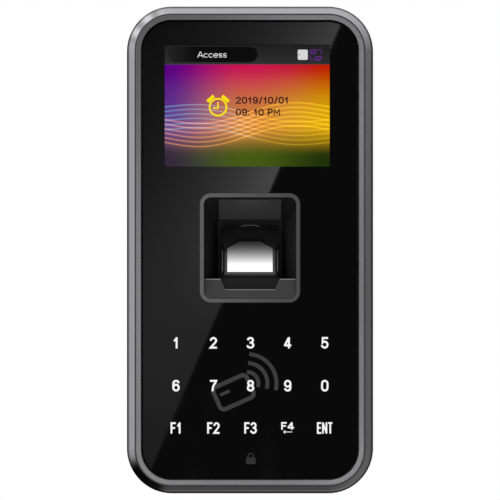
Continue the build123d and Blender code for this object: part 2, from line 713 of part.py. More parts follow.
# ---- electronics ------------------------------------------------------------
def main_board():
    """Main circuit board."""
    board = block(BOARD_X, (BOARD_FRONT, BOARD_BACK), BOARD_Z)
    board = fillet(board.edges().filter_by(Axis.Y), 2.0)
    for place in BOARD_SCREWS:
        board -= rod(M2_RADIUS + 0.35, BOARD_FRONT, BOARD_BACK, place)
    return board


def board_screws():
    """Four screws from the board into the chassis posts."""
    screws = []
    for place in BOARD_SCREWS:
        head = rod(2.4, BOARD_BACK, BOARD_BACK + 1.5, place)
        head -= rod(0.9, BOARD_BACK + 0.7, BOARD_BACK + 1.5, place)
        screws.append(head + rod(M2_RADIUS + 0.2, BOARD_BACK - 7.0, BOARD_BACK, place))
    return group(screws)


def processor_shield():
    """Tin can over the processor and its memory."""
    can = block((-28.0, -6.0), (-22.2, BOARD_FRONT), (-56.0, -34.0))
    can = fillet(can.edges().filter_by(Axis.Y), 1.5)
    return can - block((-27.7, -6.3), (-21.9, BOARD_FRONT), (-55.7, -34.3))


def board_chips():
    """Memory, network, audio and power chips on the board's front."""
    places = (
        (10.0, -48.0, 7.0), (22.0, -52.0, 5.0), (8.0, -62.0, 4.0), (-22.0, 20.0, 6.0),
        (20.0, 38.0, 5.0), (-20.0, 40.0, 4.0), (22.0, 2.0, 4.0), (-22.0, -12.0, 5.0),
    )
    chips = []
    for x, z, half in places:
        chips.append(block((x - half, x + half), (BOARD_FRONT - 1.2, BOARD_FRONT), (z - half, z + half)))
    return group(chips)


def relays():
    """Lock relay and alarm relay."""
    cases = []
    for side in (-1, 1):
        low, high = sorted((side * 18.5, side * 30.5))
        cases.append(block((low, high), (BOARD_BACK, BOARD_BACK + 9.0), (-24.0, -8.0)))
    return group(cases)


def capacitors():
    """Supply capacitors standing on the board."""
    places = ((-24.0, 12.0), (24.0, 12.0), (24.0, 1.0))
    return group([rod(3.9, BOARD_BACK, BOARD_BACK + 9.5, place) for place in places])


def network_jack():
    """Eight-way socket with its mouth downward."""
    jack = block((-14.4, 1.6), (BOARD_BACK, -4.6), (2.0, 23.0))
    mouth = block((-12.25, -0.55), (-14.6, -7.0), (2.0, 15.5))
    key = block((-9.4, -3.4), (-7.0, -5.8), (2.0, 15.5))
    return jack - mouth - key


def jack_contacts():
    """Eight gilt springs in the socket."""
    wires = []
    for index in range(8):
        x = -6.4 + (index - 3.5) * 1.02
        wires.append(block((x - 0.2, x + 0.2), (-14.58, -14.0), (4.0, 15.0)))
    return group(wires)


def terminal_headers():
    """Two columns of spring terminals for power, lock, sensor and data."""
    strip = block((4.4, 14.2), (BOARD_BACK, -8.4), (-24.5, 24.5))
    for index in range(14):
        z = -22.75 + 3.5 * index
        strip -= rod(1.0, -12.5, -8.4, (11.8, z))
        strip -= block((5.4, 8.8), (-9.6, -8.4), (z - 1.2, z + 1.2))
    return strip


def terminal_levers():
    """Orange release levers, one beside each wire hole."""
    levers = []
    for index in range(14):
        z = -22.75 + 3.5 * index
        levers.append(block((5.6, 8.6), (-9.6, -8.0), (z - 1.0, z + 1.0)))
    return group(levers)


def coin_cell():
    """Clock battery."""
    cell = rod(10.0, -15.0, -11.8, (0, -48.0))
    return fillet(cell.edges().filter_by(GeomType.CIRCLE), 0.5)


def coin_cell_holder():
    """Battery holder with two retaining arms."""
    base = block((-11.5, 11.5), (BOARD_BACK, -15.05), (-59.5, -36.5))
    base = fillet(base.edges().filter_by(Axis.Y), 2.0)
    for side in (-1, 1):
        low, high = sorted((side * 10.3, side * 11.4))
        base += block((low, high), (-15.05, -11.4), (-53.0, -43.0))
    return base


def reset_switch():
    """Body of the reset key."""
    body = block((-12.0, -6.0), (BOARD_BACK, -13.7), (-23.0, -17.0))
    return body - rod(1.75, -15.0, -13.7, (-9.0, -20.0))


def reset_button():
    """The key's plunger."""
    button = rod(1.65, -14.6, -12.8, (-9.0, -20.0))
    return fillet(button.edges().sort_by(Axis.Y)[-1], 0.3)


def bay_seal():
    """Rubber frame between the bay's walls and the board."""
    return bay_block(BAY_WALL, BOARD_BACK, BAY_SEAL_BACK) - bay_block(0.0, BOARD_BACK, BAY_SEAL_BACK)


# ---- tamper detector --------------------------------------------------------


def tamper_plunger():
    """Rod with a domed tip on the ramp and a collar for its spring."""
    dome = PLUNGER_TIP - PLUNGER_RADIUS
    stem = rod(PLUNGER_RADIUS, PLUNGER_END, dome, (0, PLUNGER_Z))
    stem += Pos(0, dome, PLUNGER_Z) * Sphere(PLUNGER_RADIUS)
    return stem + rod(2.6, COLLAR_BACK - 1.0, COLLAR_BACK, (0, PLUNGER_Z))


def tamper_spring():
    """Compression spring between the switch and the collar."""
    length = 2.5
    coil = Helix(pitch=length / 4, height=length, radius=2.1)
    wire = sweep(Plane(coil @ 0, z_dir=coil % 0) * Circle(0.15), path=coil, is_frenet=True)
    return Pos(0, COLLAR_BACK - 1.2, PLUNGER_Z) * Rot(90, 0, 0) * wire


def tamper_switch():
    """Detector switch that the plunger's end holds closed."""
    body = block((-3.0, 3.0), (BOARD_BACK, -13.9), (PLUNGER_Z - 3.0, PLUNGER_Z + 3.0))
    return body + rod(1.2, -13.9, -13.45, (0, PLUNGER_Z))


# ---- speaker ----------------------------------------------------------------


def speaker_gasket():
    """Foam ring under the speaker."""
    return oval(28.0, 14.0, -84.0, -83.4, SPEAKER_PLACE) - oval(24.0, 10.0, -84.0, -83.4, SPEAKER_PLACE)


def speaker_frame():
    """Oval basket, open downward."""
    basket = oval(28.0, 14.0, -83.4, -79.9, SPEAKER_PLACE) - oval(26.0, 12.0, -83.4, -80.7, SPEAKER_PLACE)
    return basket - pillar(4.0, -80.7, -79.9, SPEAKER_PLACE)


def speaker_cone():
    """Oval membrane with a raised middle."""
    return oval(25.6, 11.6, -82.8, -82.2, SPEAKER_PLACE) + oval(14.0, 6.0, -83.2, -82.2, SPEAKER_PLACE)


def speaker_magnet():
    """Round magnet on the basket's back."""
    return pillar(5.5, -79.9, -77.4, SPEAKER_PLACE)


def speaker_leads():
    """Two wires from the speaker up to the main board."""
    wires = []
    for x in (-7.5, -5.5):
        path = FilletPolyline((x, -24.5, -79.8), (x, -24.5, -70.5), (x, -18.9, -70.5), radius=3.0)
        wires.append(sweep(Plane(path @ 0, z_dir=path % 0) * Circle(0.45), path=path))
    return group(wires)


NODES = (
    wall_bracket, security_washer, security_screw, security_insert,
    rear_case, case_seal, case_screws, case_inserts, front_frame, glass_adhesive, front_glass,
    inner_chassis, chassis_screws, lcd_glass, lcd_backlight, lcd_gasket, lcd_flex,
    touch_board, legend_light_guide, legend_leds, antenna_coil, touch_flex,
    sensor_ring, pocket_liner, ceiling_window, finger_rest, finger_stop, status_leds,
    sensor_frame, sensor_prism, sensor_body, sensor_lens, sensor_board, sensor_leds, sensor_ribbon,
    main_board, board_screws, processor_shield, board_chips, relays, capacitors,
    network_jack, jack_contacts, terminal_headers, terminal_levers, coin_cell, coin_cell_holder,
    reset_switch, reset_button, bay_seal, tamper_plunger, tamper_spring, tamper_switch,
    speaker_gasket, speaker_frame, speaker_cone, speaker_magnet, speaker_leads,
)


os.makedirs("parts", exist_ok=True)
for node in NODES:
    export_step(node(), os.path.join("parts", node.__name__ + ".step"))
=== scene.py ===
import math

import bmesh
import bpy
import numpy as np
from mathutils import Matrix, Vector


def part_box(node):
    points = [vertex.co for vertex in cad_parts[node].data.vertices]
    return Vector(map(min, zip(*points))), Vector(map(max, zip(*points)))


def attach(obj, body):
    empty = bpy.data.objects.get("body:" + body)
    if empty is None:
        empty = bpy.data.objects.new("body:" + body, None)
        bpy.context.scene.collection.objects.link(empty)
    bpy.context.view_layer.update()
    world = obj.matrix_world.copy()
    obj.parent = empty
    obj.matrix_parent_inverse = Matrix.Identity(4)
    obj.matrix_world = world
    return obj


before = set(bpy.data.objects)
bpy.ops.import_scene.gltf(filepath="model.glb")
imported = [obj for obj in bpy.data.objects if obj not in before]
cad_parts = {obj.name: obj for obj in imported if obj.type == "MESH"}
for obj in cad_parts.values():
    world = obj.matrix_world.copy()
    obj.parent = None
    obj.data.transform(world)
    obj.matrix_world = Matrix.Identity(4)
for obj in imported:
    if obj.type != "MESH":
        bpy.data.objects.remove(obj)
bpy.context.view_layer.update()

MM = 0.001


def corners(node):
    """A CAD node's low and high corners, in millimetres."""
    low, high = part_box(node)
    return [float(part) / MM for part in low], [float(part) / MM for part in high]


CASE_HIGH = corners("rear_case")[1]
PANEL_LOW, PANEL_HIGH = corners("lcd_glass")

PANE = corners("front_glass")[0][1]
CORNER_RADIUS = 16.1

# the frame's bands of painted shade and painted light, by their distance in from the outline: (tone begins,
# tone is full)
OUTER_EDGE_SHADE = (1.25, 0.8)
HIGHLIGHT_LINE_START = (1.1, 1.3)
HIGHLIGHT_LINE_END = (1.5, 1.75)
GROOVE_START = (2.92, 3.06)
GROOVE_END = (3.48, 3.6)
FLAT_BAND = (3.6, 3.7)
PANE_EDGE_SHADE = (5.18, 5.35)
HIGHLIGHT_FOOT_BAND = (-82.0, -84.5)
PAINTED_LIGHT_RIGHT = 0.0064
PAINTED_LIGHT_DOWN = 0.0039

# tilted finger window: its middle and the slope of its long side
WINDOW_MIDDLE = (0.0, -33.0, -1.6)
SLOPE_Y = 0.530
SLOPE_Z = 0.848

# lit picture on the display
PICTURE_WIDTH = 58.8
PICTURE_HEIGHT = 43.3
PICTURE_X = (PANEL_LOW[0] + PANEL_HIGH[0]) / 2
PICTURE_Z = (PANEL_LOW[2] + PANEL_HIGH[2]) / 2 - 0.15
PICTURE_LEFT = PICTURE_X - PICTURE_WIDTH / 2
PICTURE_FOOT = PICTURE_Z - PICTURE_HEIGHT / 2
PICTURE_TOP = PICTURE_Z + PICTURE_HEIGHT / 2
BAR_HEIGHT = 6.9
BAR_MIDDLE = PICTURE_TOP - BAR_HEIGHT / 2
PICTURE_FACE = PANEL_LOW[1] - 0.12
SIGN_THICKNESS = 0.03
SIGN_FACE = PICTURE_FACE - 0.04
TOP_SIGN_FACE = SIGN_FACE - SIGN_THICKNESS * 1.5
CELL_RATE = 28.0

# signs on the lit picture
CLOCK_X, CLOCK_Z = -11.4, 50.9
CLOCK_RADIUS = 3.0
DATE_LEFT = -5.1
DATE_Z = 53.35
TIME_Z = 49.1
DATE_HEIGHT = 2.5

# touch legends
KEY_COLUMNS = (-26.3, -13.0, 0.2, 13.4, 26.6)
KEY_ROWS = (-33.0, -48.25, -63.3)
LEGEND_HEIGHT = 4.12

# printed signs on the pane
CARD_TILT = 24.0
CARD_X, CARD_Z = -5.9, -50.6
WAVE_X, WAVE_Z = -1.0, -47.4
PADLOCK_X, PADLOCK_Z = 0.3, -74.3

# edges in the finger pocket
SILL_Y, SILL_Z = -38.95, -10.5
SILL_INNER, SILL_OUTER = 10.6, 16.2
NOTCH_Y, NOTCH_Z = -40.56, -14.15
NOTCH_HALF = 8.8
RAIL_X = 9.85
RAIL_FOOT, RAIL_TOP = -7.9, 1.9
BROW_HALF = 3.3

# camera, and the card that the pane mirrors
CAMERA_DISTANCE = 0.993
FOCAL_LENGTH = 200.0
FRONT_PLANE = -0.037
CARD_PLANE = -2.04


# ---- shader maths -----------------------------------------------------------
class Signal:
    """A number or colour socket that Python's arithmetic can be written on."""

    def __init__(self, paint, socket):
        self.paint = paint
        self.socket = socket

    def maths(self, operation, *values):
        return self.paint.node("ShaderNodeMath", {"operation": operation}, dict(enumerate(values)))

    def __add__(self, other):
        return self.maths("ADD", self, other)

    __radd__ = __add__

    def __sub__(self, other):
        return self.maths("SUBTRACT", self, other)

    def __rsub__(self, other):
        return self.maths("SUBTRACT", other, self)

    def __mul__(self, other):
        return self.maths("MULTIPLY", self, other)

    __rmul__ = __mul__

    def __truediv__(self, other):
        return self.maths("DIVIDE", self, other)

    def __rtruediv__(self, other):
        return self.maths("DIVIDE", other, self)

    def __pow__(self, other):
        return self.maths("POWER", self, other)

    def __abs__(self):
        return self.maths("ABSOLUTE", self)

    def sine(self):
        return self.maths("SINE", self)

    def below(self, other):
        return self.maths("LESS_THAN", self, other)

    def above(self, other):
        return self.maths("GREATER_THAN", self, other)

    def least(self, other):
        return self.maths("MINIMUM", self, other)

    def most(self, other):
        return self.maths("MAXIMUM", self, other)

    def fade(self):
        """e to the minus this."""
        return self.maths("EXPONENT", 0.0 - self)

    def ease(self, low, high, start=0.0, end=1.0):
        """Runs smoothly from start to end as this goes from low to high."""
        settings = {"interpolation_type": "SMOOTHSTEP"}
        return self.paint.node("ShaderNodeMapRange", settings, {0: self, 1: low, 2: high, 3: start, 4: end})


class NodeTree:
    """The one way that nodes are added to a material or to the room's light."""

    def __init__(self, tree):
        self.tree = tree

    def node(self, kind, settings, values, output=0):
        """Adds a node: its settings first, then values or links of its sockets."""
        node = self.tree.nodes.new(kind)
        for name, setting in settings.items():
            if name == "stops":
                fill_ramp(node.color_ramp, setting)
            else:
                setattr(node, name, setting)
        for socket, value in values.items():
            if isinstance(value, Signal):
                self.tree.links.new(value.socket, node.inputs[socket])
            else:
                node.inputs[socket].default_value = value
        return Signal(self, node.outputs[output])

    def place(self, source, output, scale):
        """The three coordinates of a texture coordinate, each multiplied by a scale."""
        spot = self.node(source, {}, {}, output)
        parts = self.node("ShaderNodeSeparateXYZ", {}, {0: spot}).socket.node.outputs
        return [spot] + [Signal(self, part) * scale for part in parts]

    def mix(self, factor, first, second):
        """A colour between two others."""
        values = {0: factor, 6: colour(first), 7: colour(second)}
        return self.node("ShaderNodeMix", {"data_type": "RGBA"}, values, 2)

    def gain(self, tint, amount):
        """A colour made lighter or darker by a number."""
        values = {0: tint if isinstance(tint, Signal) else colour(tint)[:3], "Scale": amount}
        return self.node("ShaderNodeVectorMath", {"operation": "SCALE"}, values)

    def together(self, first, second):
        """Two lights on the same spot."""
        return self.node("ShaderNodeVectorMath", {"operation": "ADD"}, {0: first, 1: second})


class Paint(NodeTree):
    """A material, its main shader and its coordinates in millimetres."""

    def __init__(self, name, **constants):
        self.material = bpy.data.materials.new(name)
        self.material.use_nodes = True
        super().__init__(self.material.node_tree)
        self.shader = self.tree.nodes["Principled BSDF"]
        for socket, value in constants.items():
            self.shader.inputs[socket.replace("_", " ")].default_value = value
        self.spot, self.x, self.y, self.z = self.place("ShaderNodeTexCoord", "Object", 1.0 / MM)

    def feed(self, **links):
        """Joins signals to the shader's sockets."""
        for socket, signal in links.items():
            self.tree.links.new(signal.socket, self.shader.inputs[socket.replace("_", " ")])
        return self

    def noise(self, size, detail=3.0, rough=0.5, stretch=(1.0, 1.0, 1.0)):
        """Cloudy noise from 0 to 1 with features of a size in millimetres."""
        spot = self.node("ShaderNodeMapping", {}, {"Vector": self.spot, "Scale": stretch})
        values = {"Vector": spot, "Scale": 1.0 / (size * MM), "Detail": detail, "Roughness": rough}
        return self.node("ShaderNodeTexNoise", {}, values)

    def cells(self, size, feature="F1"):
        """Distance to the nearest of scattered points, size apart in millimetres."""
        values = {"Vector": self.spot, "Scale": 1.0 / (size * MM)}
        return self.node("ShaderNodeTexVoronoi", {"feature": feature}, values)

    def bump(self, height, depth):
        """A surface normal raised by height times a depth in millimetres."""
        return self.node("ShaderNodeBump", {}, {"Height": height, "Distance": depth * MM, "Strength": 1.0})


def fill_ramp(ramp, stops):
    """Sets a ramp's stops from (place, colour) pairs in rising order."""
    ramp.interpolation = "EASE"
    ramp.elements.remove(ramp.elements[1])
    ramp.elements[0].position = stops[0][0]
    ramp.elements[0].color = colour(stops[0][1])
    for place, tint in stops[1:]:
        ramp.elements.new(place).color = colour(tint)


def colour(value):
    """A grey number or three numbers as a colour with alpha; signals pass through."""
    if isinstance(value, Signal):
        return value
    if isinstance(value, (int, float)):
        value = (value, value, value)
    return tuple(value)[:3] + (1.0,)


def screen(red, green, blue):
    """A display colour of 0 to 255 as linear light."""
    parts = [part / 255.0 for part in (red, green, blue)]
    return tuple(((part + 0.055) / 1.055) ** 2.4 if part > 0.04 else part / 12.92 for part in parts)


BLACK = (0.0, 0.0, 0.0, 1.0)
UNLIT = {"Base_Color": BLACK, "Roughness": 0.9, "Specular_IOR_Level": 0.0}


# ---- finishes ---------------------------------------------------------------
def moulding(name, tint, rough, grain=0.35, depth=0.012, **constants):
    """Moulded plastic: spark-eroded grain, cloudy sheen, faint scuffs."""
    paint = Paint(name, **constants)
    clouds = paint.noise(14.0, 4.0)
    fine = paint.noise(grain, 2.0, 0.6)
    scuffs = paint.noise(1.2, 3.0, 0.65, (1.0, 1.0, 0.12)).ease(0.62, 0.78)
    shade = paint.gain(tint, clouds * 0.3 + fine * 0.2 + scuffs * 0.25 + 0.75)
    sheen = rough + (clouds - 0.5) * 0.12 + (fine - 0.5) * 0.1 + scuffs * 0.08
    return paint.feed(Base_Color=shade, Roughness=sheen, Normal=paint.bump(fine, depth)).material


def satin_chrome():
    """Dark satin plating: fine lines, cloudy gloss, painted shade in the groove and along the pane and the
    outer edge.

    The flat inner band is painted paler, more so to the right and below, as painted light, and a painted
    highlight line runs along the outer edge at the bottom.
    The distance in from the rounded outline is the radius less the length of
    what lies past the corner's centre, kept at zero or more on each axis.
    """
    paint = Paint("satin_chrome", Metallic=1.0)
    past_x = (abs(paint.x) - (CASE_HIGH[0] - CORNER_RADIUS)).most(0.0)
    past_z = (abs(paint.z) - (CASE_HIGH[2] - CORNER_RADIUS)).most(0.0)
    inward = CORNER_RADIUS - (past_x * past_x + past_z * past_z) ** 0.5
    # painted shade: the groove is darkened in the tone below
    groove = inward.ease(*GROOVE_START) * inward.ease(*GROOVE_END, 1.0, 0.0)
    # painted shade: dark bands along the pane edge and along the outer edge
    edge_shade = inward.ease(*PANE_EDGE_SHADE) * 0.75 + inward.ease(*OUTER_EDGE_SHADE) * 0.62
    # painted highlight: a bright line near the outer edge, shown only along the bottom
    line = inward.ease(*HIGHLIGHT_LINE_START) * inward.ease(*HIGHLIGHT_LINE_END, 1.0, 0.0)
    shine = line * paint.z.ease(*HIGHLIGHT_FOOT_BAND) * 0.75
    clouds = paint.noise(22.0, 3.0)
    lines = paint.noise(0.25, 2.0, 0.5, (1.0, 1.0, 0.03))
    # painted light: the flat inner band made paler, more so to the right and below
    flat = inward.ease(*FLAT_BAND) * (0.2 + paint.x * PAINTED_LIGHT_RIGHT - paint.z * PAINTED_LIGHT_DOWN)
    tone = (clouds * 0.10 + lines * 0.05 + 0.92) * (1.0 - groove * 0.65) * (1.0 - edge_shade)
    tone = tone * (shine + 1.0) * (flat + 1.0)
    rough = clouds * 0.05 + lines * 0.04 + groove * 0.2 + 0.09
    shade = paint.gain((0.56, 0.56, 0.575), tone)
    return paint.feed(Base_Color=shade, Roughness=rough, Normal=paint.bump(lines, 0.001)).material


def plain_metal(name, tint, rough, streak=(1.0, 1.0, 1.0), grain=0.3, depth=0.004):
    """Turned, rolled or plated metal with fine lines and dull patches."""
    paint = Paint(name, Metallic=1.0)
    lines = paint.noise(grain, 3.0, 0.6, streak)
    dull = paint.noise(3.0, 4.0, 0.6).ease(0.45, 0.75)
    shade = paint.gain(tint, lines * 0.25 + 0.85 - dull * 0.18)
    sheen = rough + dull * 0.18 + (lines - 0.5) * 0.1
    return paint.feed(Base_Color=shade, Roughness=sheen, Normal=paint.bump(lines, depth)).material


def powder_coat():
    """Black powder coat over steel, with small chips to bright metal."""
    paint = Paint("powder_coat")
    peel = paint.noise(0.8, 2.0, 0.5)
    clouds = paint.noise(18.0, 3.0)
    chips = paint.noise(0.7, 4.0, 0.7).ease(0.70, 0.74)
    coat = paint.gain((0.055, 0.056, 0.06), clouds * 0.5 + 0.75)
    sheen = 0.42 + clouds * 0.12 - chips * 0.1
    shade = paint.mix(chips * 0.7, coat, (0.45, 0.45, 0.46))
    skin = paint.bump(peel, 0.03)
    return paint.feed(Base_Color=shade, Metallic=chips, Roughness=sheen, Normal=skin).material


def black_pane():
    """Glass printed black behind, clear over the display, with faint smears."""
    paint = Paint("black_pane")
    across = abs(paint.x - PICTURE_X) - (PICTURE_WIDTH / 2 + 0.05)
    along = abs(paint.z - PICTURE_Z) - (PICTURE_HEIGHT / 2 + 0.05)
    printed = across.most(along).ease(-0.08, 0.02)
    smear = paint.noise(9.0, 5.0, 0.6, (1.0, 1.0, 0.35)).ease(0.5, 0.8)
    dust = paint.noise(0.35, 2.0, 0.5).ease(0.78, 0.84)
    shade = paint.gain((0.0032, 0.0032, 0.0034), 1.0 + dust * 3.0 + smear * 0.3)
    rough = 0.015 + smear * 0.03 + dust * 0.1
    return paint.feed(Base_Color=shade, Roughness=rough, Alpha=printed).material


def picture():
    """Abstract wallpaper: soft colour fields crossed by ribbons of light."""
    paint = Paint("picture", Emission_Strength=1.0, **UNLIT)
    u = (paint.x - PICTURE_LEFT) / PICTURE_WIDTH
    v = (paint.z - PICTURE_FOOT) / (PICTURE_HEIGHT - BAR_HEIGHT)
    total = None
    for low, high, stops in wallpaper_rows():
        row = paint.node("ShaderNodeValToRGB", {"stops": stops}, {0: u})
        total = row if total is None else paint.mix(v.ease(low, high), total, row)
    swell = (u * math.pi).sine()
    lean = (u * 2.0 * math.pi).sine()
    for start, end, rise, wave, tint, width, power, left, right in ribbons():
        line = start + (end - start) * u + swell * rise + lean * wave
        under = line - v
        veil = (under / (width * 8.0)).fade() * under.above(0.0) * 0.14
        core = (under * under / (width * width)).fade() + veil
        ends = u.ease(left - 0.1, left + 0.1) * u.ease(right - 0.12, right + 0.12, 1.0, 0.0)
        total = paint.together(total, paint.gain(tint, core * ends * power))
    bar = v.above(1.0)
    shine = v.ease(1.0, 1.18, 0.026, 0.016) + v.ease(1.0, 1.02, 0.02, 0.0)
    total = paint.mix(bar, total, paint.gain((1.0, 1.0, 1.0), shine))
    lines = (paint.x * CELL_RATE).sine() * (paint.z * CELL_RATE).sine() * 0.03 + 1.0
    return paint.feed(Emission_Color=paint.gain(total, lines)).material


def wallpaper_rows():
    """Rows of plain spectrum colours from the foot up.

    Each is (blend from, blend to, colours from left to right).
    """
    def row(low, high, *tints):
        return low, high, [(place / (len(tints) - 1), screen(*tint)) for place, tint in enumerate(tints)]

    return (
        row(0.0, 0.1, (50, 40, 60), (70, 90, 20), (30, 50, 10)),
        row(0.1, 0.45, (90, 50, 140), (200, 120, 60), (210, 160, 10)),
        row(0.5, 1.0, (90, 0, 130), (200, 20, 80), (190, 30, 0)),
    )


def ribbons():
    """Two fans of evenly spaced waves.

    Each ribbon is (left, right, rise, wave, colour, width, power, from, to).
    """
    cool = (0.14, 0.50, 0.54)
    warm = (0.90, 0.34, 0.06)
    gold = (0.70, 0.42, 0.02)
    made = []
    for step in range(6):
        level = 0.24 + 0.045 * step
        made.append((level, level + 0.12, 0.0, -0.07, warm, 0.006, 0.5, -0.2, 0.5))
        made.append((level, level + 0.12, 0.0, -0.07, gold, 0.006, 0.5, 0.45, 1.2))
        made.append((level + 0.12, level, 0.0, 0.05, cool, 0.005, 0.45, -0.2, 0.5))
        made.append((level + 0.12, level, 0.0, 0.05, gold, 0.005, 0.4, 0.45, 1.2))
    return made


def lit(name, tint, strength=1.0, rough=0.5):
    """Print or glass that glows, a little uneven from its lamp."""
    dull = {"Base_Color": BLACK, "Roughness": rough, "Specular_IOR_Level": 0.1}
    paint = Paint(name, Emission_Strength=strength, **dull)
    clouds = paint.noise(2.4, 2.0)
    return paint.feed(Emission_Color=paint.gain(tint, clouds * 0.12 + 0.94)).material


def print_ink(name, tint, rough=0.45):
    """Ink on glass, its edge a little uneven in gloss."""
    paint = Paint(name)
    clouds = paint.noise(1.5, 3.0)
    shade = paint.gain(tint, clouds * 0.2 + 0.9)
    sheen = rough + clouds * 0.15
    return paint.feed(Base_Color=shade, Roughness=sheen, Normal=paint.bump(clouds, 0.004)).material


def finger_window():
    """Coated glass that glows white below from its lamp, with painted shade of the hood turning it to grey
    above.
    """
    glass = {"Base_Color": (0.02, 0.02, 0.02, 1.0), "Coat_Weight": 0.3}
    paint = Paint("finger_window", Emission_Strength=1.0, **glass)
    # painted shade: the glow drops to grey towards the top, under the hood
    rise = ((3.4 - paint.z) / 8.6).least(1.0).most(0.0)
    light = rise ** 2.3 + 0.018
    haze = paint.noise(1.6, 3.0) * 0.05 + 0.975
    glow = paint.gain((1.0, 1.0, 1.0), light * haze)
    return paint.feed(Emission_Color=glow, Roughness=0.12 + haze * 0.1).material


def circuit(name, mask, track):
    """Solder mask over copper tracks with vias and bare pads."""
    paint = Paint(name)
    bend = paint.noise(7.0, 1.0) * 3.0
    runs = ((paint.z + bend) * 3.4).sine().above(0.55)
    crossing = ((paint.x - bend) * 3.1).sine().above(0.72)
    zone = paint.noise(16.0, 1.0).ease(0.47, 0.49)
    tracks = runs * zone + crossing * (1.0 - zone)
    vias = paint.cells(3.2).below(0.13)
    tint = paint.mix(vias, paint.mix(tracks.least(1.0), mask, track), (0.75, 0.70, 0.55))
    sheen = 0.28 + paint.noise(1.0) * 0.2
    skin = paint.bump(tracks + vias, 0.03)
    return paint.feed(Base_Color=tint, Metallic=vias, Roughness=sheen, Normal=skin).material


def film(name, tint):
    """Polyimide ribbon with its copper lines showing through."""
    paint = Paint(name)
    lines = (paint.x * 9.0).sine().above(0.1)
    shade = paint.mix(lines, tint, tuple(part * 1.6 for part in tint))
    sheen = 0.24 + paint.noise(2.0) * 0.2
    return paint.feed(Base_Color=shade, Roughness=sheen, Normal=paint.bump(lines, 0.02)).material


# ---- surfaces ---------------------------------------------------------------
def add_mesh(name, points, faces, material, body="terminal", slot="diffuser"):
    """A finished piece at the origin, from points in millimetres and four-cornered faces."""
    mesh = bpy.data.meshes.new(name)
    mesh.from_pydata((np.asarray(points) * MM).tolist(), [], np.asarray(faces).tolist())
    welded = bmesh.new()
    welded.from_mesh(mesh)
    bmesh.ops.remove_doubles(welded, verts=welded.verts, dist=1e-7)
    welded.to_mesh(mesh)
    welded.free()
    mesh.materials.append(material)
    piece = bpy.data.objects.new(name, mesh)
    bpy.context.scene.collection.objects.link(piece)
    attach(piece, body)
    return piece


def grid_faces(rows, columns, close_columns=False):
    """The faces between neighbouring rows and columns of a grid of points."""
    row = np.arange(rows - 1)[:, None]
    column = np.arange(columns if close_columns else columns - 1)[None, :]
    after = (column + 1) % columns
    near, far = row * columns, (row + 1) * columns
    return np.stack((near + column, near + after, far + after, far + column), -1).reshape(-1, 4)


def merge(parts):
    """Points and faces of several solids as one pair of arrays."""
    points, faces, start = [], [], 0
    for part_points, part_faces in parts:
        points.append(part_points)
        faces.append(part_faces + start)
        start += len(part_points)
    return np.concatenate(points), np.concatenate(faces)


def stroke(path, width, face, closed=False):
    """A flat bar along an (x, z) path.

    Each point moves to both sides along the sum of its two runs' normals,
    divided by one plus the cosine of the turn, so the bar keeps its width
    round a corner. An open bar is carried half its width past both ends.
    """
    path = np.array(path, float)
    if not closed:
        first = path[0] - path[1]
        last = path[-1] - path[-2]
        path[0] += first / np.linalg.norm(first) * width / 2
        path[-1] += last / np.linalg.norm(last) * width / 2
    run = np.roll(path, -1, 0) - path
    run /= np.linalg.norm(run, axis=1)[:, None] + 1e-12
    if not closed:
        run[-1] = run[-2]
    before = np.roll(run, 1, 0)
    if not closed:
        before[0] = run[0]
    normal = np.stack([-(run + before)[:, 1], (run + before)[:, 0]], 1)
    side = normal / np.maximum((normal ** 2).sum(1) / 2, 0.35)[:, None] * width / 2
    back = face + SIGN_THICKNESS
    ring = ((path + side, face), (path - side, face), (path - side, back), (path + side, back))
    points = np.stack([np.insert(edge, 1, y, 1) for edge, y in ring], 1)
    if closed:
        points = np.concatenate([points, points[:1]])
    faces = grid_faces(len(points), 4, True)
    if not closed:
        end = np.arange(4) + (len(points) - 1) * 4
        faces = np.concatenate([faces, [[3, 2, 1, 0]], [end]])
    return points.reshape(-1, 3), faces


def plate(outline, face):
    """A flat solid with one (x, z) outline, as rings drawn in to its middle."""
    outline = np.asarray(outline, float)
    middle = outline.mean(0)
    back = face + SIGN_THICKNESS
    rings = ((0.0, back), (1.0, back), (1.0, face), (0.0, face))
    points = [np.insert(middle + (outline - middle) * share, 1, y, 1) for share, y in rings]
    return np.concatenate(points), grid_faces(4, len(outline), True)


def bead(path, radius, sides=10):
    """A thin round bar along straight runs of (x, y, z), closed at its ends.

    Each ring lies across the run's mean direction; the end rings draw in to a point.
    """
    path = np.asarray(path, float)
    run = np.gradient(path, axis=0)
    run /= np.linalg.norm(run, axis=1)[:, None]
    across = np.cross(run, np.where(np.abs(run[:, :1]) < 0.9, [[1.0, 0.0, 0.0]], [[0.0, 0.0, 1.0]]))
    across /= np.linalg.norm(across, axis=1)[:, None]
    over = np.cross(run, across)
    turn = np.linspace(0.0, 2 * math.pi, sides, endpoint=False)[None, :, None]
    ring = across[:, None] * np.cos(turn) + over[:, None] * np.sin(turn)
    sizes = np.concatenate([[0.0], np.full(len(path), radius), [0.0]])
    places = np.concatenate([[0], np.arange(len(path)), [len(path) - 1]])
    points = path[places][:, None] + ring[places] * sizes[:, None, None]
    return points.reshape(-1, 3), grid_faces(len(places), sides, True)[:, ::-1]


def bow(x, z, across, along, start, end, steps=16):
    """Points on an ellipse's arc, in degrees anticlockwise from the right."""
    turn = np.radians(np.linspace(start, end, steps))
    return np.stack([x + across * np.cos(turn), z + along * np.sin(turn)], 1)


def ring_path(x, z, radius, steps=48):
    """A whole circle, its last point left out."""
    return bow(x, z, radius, radius, 0, 360, steps + 1)[:-1]


